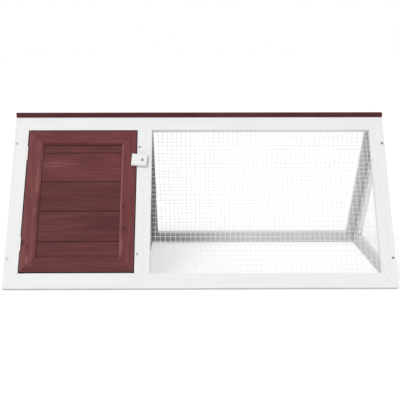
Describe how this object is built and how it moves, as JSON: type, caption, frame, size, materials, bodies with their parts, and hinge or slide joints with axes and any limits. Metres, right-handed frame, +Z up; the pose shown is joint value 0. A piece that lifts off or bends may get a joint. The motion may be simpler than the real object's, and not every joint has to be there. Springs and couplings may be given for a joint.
{
  "type": "rabbit hutch",
  "caption": "Low tent-shaped wooden rabbit hutch with a stained sleeping end behind a hinged door and a wire mesh run under one ridge.",
  "frame": {"origin": "centre of the base, on the ground", "axes": "+X along the length with the door at -X and the run at +X, -Y towards the door side, +Z up"},
  "size_m": [0.98, 0.5, 0.419],
  "materials": {
    "white_paint": "planed fir, white water-based paint, satin",
    "red_stain": "planed fir, red-brown stain with the grain showing, satin",
    "dark_stain": "planed fir, dark red-brown stain, satin",
    "galvanised_wire": "galvanised welded wire, dull bright zinc",
    "hinge_steel": "zinc plated pressed steel",
    "yellow_zinc": "yellow passivated zinc on steel screws"
  },
  "bodies": {
    "hutch": {"back_board_1": "red_stain", "back_board_2": "red_stain", "back_board_3": "red_stain", "back_board_4": "red_stain", "back_board_5": "red_stain", "back_bottom_rail": "white_paint", "back_left_stile": "white_paint", "back_middle_stile": "white_paint", "back_right_stile": "white_paint", "back_run_mesh": "galvanised_wire", "back_top_rail": "white_paint", "front_bottom_rail": "white_paint", "front_left_stile": "white_paint", "front_middle_stile": "white_paint", "front_right_stile": "white_paint", "front_run_mesh": "galvanised_wire", "front_top_rail": "white_paint", "left_end_back_rafter": "white_paint", "left_end_board_1": "red_stain", "left_end_board_2": "red_stain", "left_end_board_3": "red_stain", "left_end_board_4": "red_stain", "left_end_bottom_rail": "white_paint", "left_end_front_rafter": "white_paint", "left_end_screw_lower": "yellow_zinc", "left_end_screw_upper": "yellow_zinc", "lower_hinge_frame_leaf": "hinge_steel", "lower_hinge_pin": "hinge_steel", "partition_back_rafter": "white_paint", "partition_board_1": "white_paint", "partition_board_2_back": "white_paint", "partition_board_2_front": "white_paint", "partition_board_3": "white_paint", "partition_board_4": "white_paint", "partition_bottom_rail": "white_paint", "partition_front_rafter": "white_paint", "partition_screw_lower": "yellow_zinc", "partition_screw_upper": "yellow_zinc", "ridge_cap": "dark_stain", "right_end_back_rafter": "white_paint", "right_end_bottom_rail": "white_paint", "right_end_front_rafter": "white_paint", "right_end_mesh": "galvanised_wire", "right_end_screw_lower": "yellow_zinc", "right_end_screw_upper": "yellow_zinc", "turn_button_screw": "yellow_zinc", "upper_hinge_frame_leaf": "hinge_steel", "upper_hinge_pin": "hinge_steel"},
    "door": {"door_board_1": "red_stain", "door_board_2": "red_stain", "door_board_3": "red_stain", "door_board_4": "red_stain", "door_board_5": "red_stain", "door_bottom_rail": "red_stain", "door_left_stile": "red_stain", "door_right_stile": "red_stain", "door_top_rail": "red_stain", "lower_hinge_door_leaf": "hinge_steel", "upper_hinge_door_leaf": "hinge_steel"},
    "turn_button": {"turn_button": "white_paint"}
  },
  "joints": [
    {"name": "door_hinge", "type": "hinge", "parent": "hutch", "child": "door", "pos_m": [-0.4525, -0.12842, 0.21135], "axis": [0, -0.518, -0.8554], "range_deg": [0, 180]},
    {"name": "button_pivot", "type": "hinge", "parent": "hutch", "child": "turn_button", "pos_m": [-0.15, -0.07858, 0.30041], "axis": [0, -0.8554, 0.518], "continuous": true}
  ]
}
